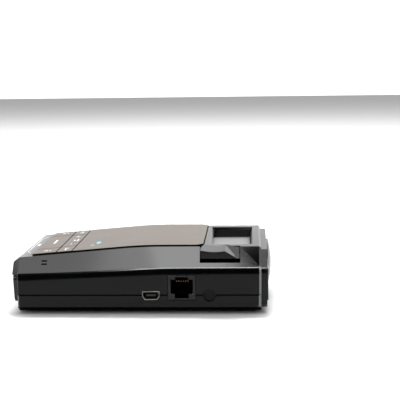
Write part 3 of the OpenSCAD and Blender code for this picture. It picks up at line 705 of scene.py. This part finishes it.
def on_key(node, along_x, y):
    """A spot on a key's top, along_x metres up the slope from the key's middle."""
    top = max(vert.co.dot(SLOPE_UP) for vert in frame["nodes"][node].data.vertices)
    low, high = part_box(node)
    x = (low.x + high.x) / 2 + along_x
    return Vector((x, y, (top - x * SLOPE_UP.x) / SLOPE_UP.z)) - SLOPE_UP * PRINT_THICK / 3


def on_frame(x, y):
    """A spot on the case's own top behind the keys, which lies a little lower than they do."""
    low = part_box("key_rear_middle")[0]
    face = max((face for face in frame["nodes"]["top_housing"].data.polygons
                if face.normal.dot(SLOPE_UP) > 0.999 and abs(face.center.y) < 34 * MM
                and face.center.x < low.x + 6 * MM), key=lambda face: face.center.dot(SLOPE_UP))
    top = face.center.dot(SLOPE_UP)
    return Vector((x, y, (top - x * SLOPE_UP.x) / SLOPE_UP.z)) - SLOPE_UP * PRINT_THICK / 3


def sign(shape, name, node, along_x, y, turn=0.0):
    """A print on a key's sloped top, with its place in millimetres."""
    printed(shape, name, node, on_key(node, along_x * MM, y * MM), TOP_SLOPE, turn)


def sign_bar(length_x, length_y, round_by, *where):
    """A bar with rounded corners on a key, in millimetres."""
    sign(flat_bar(length_x * MM, length_y * MM, round_by * MM), *where)


def key_prints():
    """Plain signs that need no words: bars, dots, arrows, plus and minus."""
    for name, y, size in [("left", -3.4, 2.0), ("middle", 0, 2.6), ("right", 3.4, 2.0)]:
        sign_bar(1.1, size, 0.3, "mute_sign_" + name, "key_rear_middle", 0, y)
    for side, end in [(-1, "near"), (1, "far")]:
        node = "key_rear_" + end
        sign(flat_disc(1.35 * MM, 3), "arrow_sign_" + end, node, 0, side * 23, radians(-90 * side))
        sign_bar(0.5, 2.2, 0.2, "arrow_bar_" + end, node, 1.9, side * 23)
    sign_bar(1.0, 2.4, 0.3, "volume_sign", "key_volume", 0, 0)
    sign_bar(0.6, 5.6, 0.25, "volume_line", "key_volume", 1.6, 0)
    sign_bar(0.55, 2.1, 0.2, "minus_sign", "key_volume", 0, -9.8)
    sign(flat_cross(2.2 * MM, 0.6 * MM), "plus_sign", "key_volume", 0, 9.8)
    for side, end in [(-1, "near"), (1, "far")]:
        node = "key_front_" + end
        sign(flat_disc(1.0 * MM, 24, 0.55 * MM), "ring_sign_" + end, node, 0, side * 21)
        sign_bar(0.6, 2.6, 0.25, "ring_bar_" + end, node, 0, side * 24)


def frame_prints():
    """A thin bracket line round the rear of the keypad, and a short bar inside it."""
    line = 0.32 * MM
    rear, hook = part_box("key_rear_middle")[0].x - 4.3 * MM, 2.1 * MM
    printed(flat_bar(line, 33 * MM), "bracket_line", "top_housing", on_frame(rear, 0), TOP_SLOPE)
    for side in (-1, 1):
        run = 4.5 * MM
        lean = atan2(hook, run)
        spot = on_frame(rear + hook / 2, side * (16.5 * MM + run / 2))
        printed(flat_bar(line, run / cos(lean)), "bracket_hook_" + ("near" if side < 0 else "far"),
                "top_housing", spot, TOP_SLOPE, -side * lean)
    printed(flat_bar(0.9 * MM, 5.0 * MM, 0.25 * MM), "bracket_sign", "top_housing",
            on_frame(rear + 1.9 * MM, 0), TOP_SLOPE)


def corners_x(face):
    """Where the corners of one of the plate's faces lie along the case."""
    corners = frame["nodes"]["top_plate"].data.vertices
    return [corners[index].co.x for index in face.vertices]


def plate_print():
    """A plain light blue bar and dot on the slope of the plate."""
    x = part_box("top_plate")[0].x + 9 * MM
    faces = [face for face in frame["nodes"]["top_plate"].data.polygons if face.normal.z > 0.9]
    for name, shape, dx, y in [("blue_bar", flat_bar(1.9 * MM, 5.4 * MM, 0.8 * MM), 0.6, -12.8),
                               ("blue_dot", flat_disc(0.9 * MM), -1.6, -18.4)]:
        spot = Vector((x + dx * MM, y * MM, 0))
        around = [face for face in faces if min(corners_x(face)) <= spot.x <= max(corners_x(face))]
        under = max(around, key=lambda face: face.area)
        normal = under.normal
        spot.z = under.center.z - (spot.x - under.center.x) * normal.x / normal.z
        printed(shape, name, "top_plate", spot - normal * PRINT_THICK / 3,
                atan2(-normal.x, normal.z), ink=PRINT_BLUE)


# ---- Light -------------------------------------------------------------------------------


PANEL_AWAY, PANEL_LIFT = 1.2, 0.02


def panel(name, azimuth, elevation, left_right, radiance, soft=False):
    """A broad lamp, on the camera's side where azimuth is 0, and else turned about Z by it.

    It reaches from one elevation to another, and from left to right in metres. A soft one
    only lights, and the others are only seen mirrored.
    """
    low, high = map(radians, elevation)
    left, right = left_right
    rise, turn = (low + high) / 2, radians(azimuth)
    width, height = right - left, 2 * PANEL_AWAY * tan((high - low) / 2)
    lamp = bpy.data.lights.new(name, "AREA")
    lamp.shape = "RECTANGLE"
    lamp.size, lamp.size_y = width, height
    lamp.energy = radiance * pi * width * height
    holder = bpy.data.objects.new(name, lamp)
    bpy.context.scene.collection.objects.link(holder)
    away = Vector((0, -cos(rise), sin(rise)))
    spot = away * PANEL_AWAY + Vector(((left + right) / 2, 0, 0))
    facing = (-away).to_track_quat("-Z", "Y").to_matrix().to_4x4()
    lift = Matrix.Translation((0, 0, PANEL_LIFT)) @ Matrix.Rotation(turn, 4, "Z")
    holder.matrix_world = lift @ Matrix.Translation(spot) @ facing
    holder.visible_camera = False
    holder.visible_glossy = not soft
    holder.visible_diffuse = soft


def room():
    """White behind and at the sides, dimmer overhead and dark low on the camera's side.

    The camera itself sees plain white.
    """
    world = Finish("room", world=True)
    x, y, z = world.across(world.add("ShaderNodeTexCoord", output="Generated"))
    aside = x.size().ease(0.30, 0.75)
    behind = y.ease(-0.30, 0.30)
    overhead = z.ease(0.30, 0.85)
    light = 0.01 + behind.most(aside * 0.7) * 1.25 * (1 - overhead * 0.7)
    seen = world.add("ShaderNodeLightPath", output="Is Camera Ray")
    strength = light * (1 - seen) + seen * 1.3
    back = world.add("ShaderNodeBackground", None, {"Color": (1, 1, 1), "Strength": strength})
    world.add("ShaderNodeOutputWorld", None, {"Surface": back})
    bpy.context.scene.world = world.block


FLOOR_EDGE, FLOOR_SIZE = -0.195, 3.0


def studio():
    pick()
    bpy.ops.mesh.primitive_plane_add(size=FLOOR_SIZE, location=(0, FLOOR_EDGE + FLOOR_SIZE / 2, 0))
    floor = bpy.context.object
    floor.name = "floor"
    finish = Finish("pale floor")
    grain = finish.noise(0.05, 3)
    shade = finish.tint(grain, (0.80, 0.80, 0.80), (0.82, 0.82, 0.82))
    floor.data.materials.append(finish.surface(Base_Color=shade, Roughness=0.9, IOR=1.2))
    room()
    panel("wide softbox", 0, (38, 58), (-0.80, -0.26), 9)
    panel("middle softbox", 0, (38, 58), (-0.26, -0.14), 16)
    panel("bright softbox", 0, (38, 58), (-0.14, 0.025), 24)
    panel("low strip", 0, (28, 36), (-0.19, 0.10), 52)
    panel("overhead softbox", 0, (66, 100), (0.05, 0.46), 5)
    panel("rear end softbox", -92, (15, 50), (-0.3, 0.3), 5)
    panel("lens end softbox", 85, (3, 30), (-0.25, 0.25), 5)
    panel("far corner softbox", 138, (38, 76), (-0.75, 0.75), 7)
    panel("table light", 0, (78, 148), (-0.9, 0.9), 2.0, soft=True)
    panel("back light", 0, (106, 115), (-0.16, 0.16), 62, soft=True)
    panel("front fill", 0, (25, 60), (-0.6, 0.6), 0.25, soft=True)
    view = bpy.context.scene.view_settings
    view.view_transform = "Standard"
    view.look = "None"


set_camera()
case_top()
case_base()
collar()
plate()
for name in KEYS:
    key(name)
button()
trimmed("display_window", "display_pane", 0.25 * MM)
trimmed("antenna_window", "antenna_pane", 0.2 * MM)
trimmed("side_window", "side_pane", 0.2 * MM)
trimmed("laser_lens", "front_lens", 0.15 * MM, 40)
jack()
data_shell()
trimmed("audio_port_plug", "audio_port_disc", 0.15 * MM)
trimmed("rubber_feet", "feet", 0.25 * MM)
trimmed("case_screws", "screws", 0.1 * MM, 60)
key_prints()
frame_prints()
plate_print()
studio()

# The latch shows only in the button's slot, where it has to look like shade.
for node, solid in frame["nodes"].items():
    solid.data.materials.clear()
    solid.data.materials.append(PAINTED_SHADE if node == "release_latch" else FINISHES[SLOT_OF[node]])
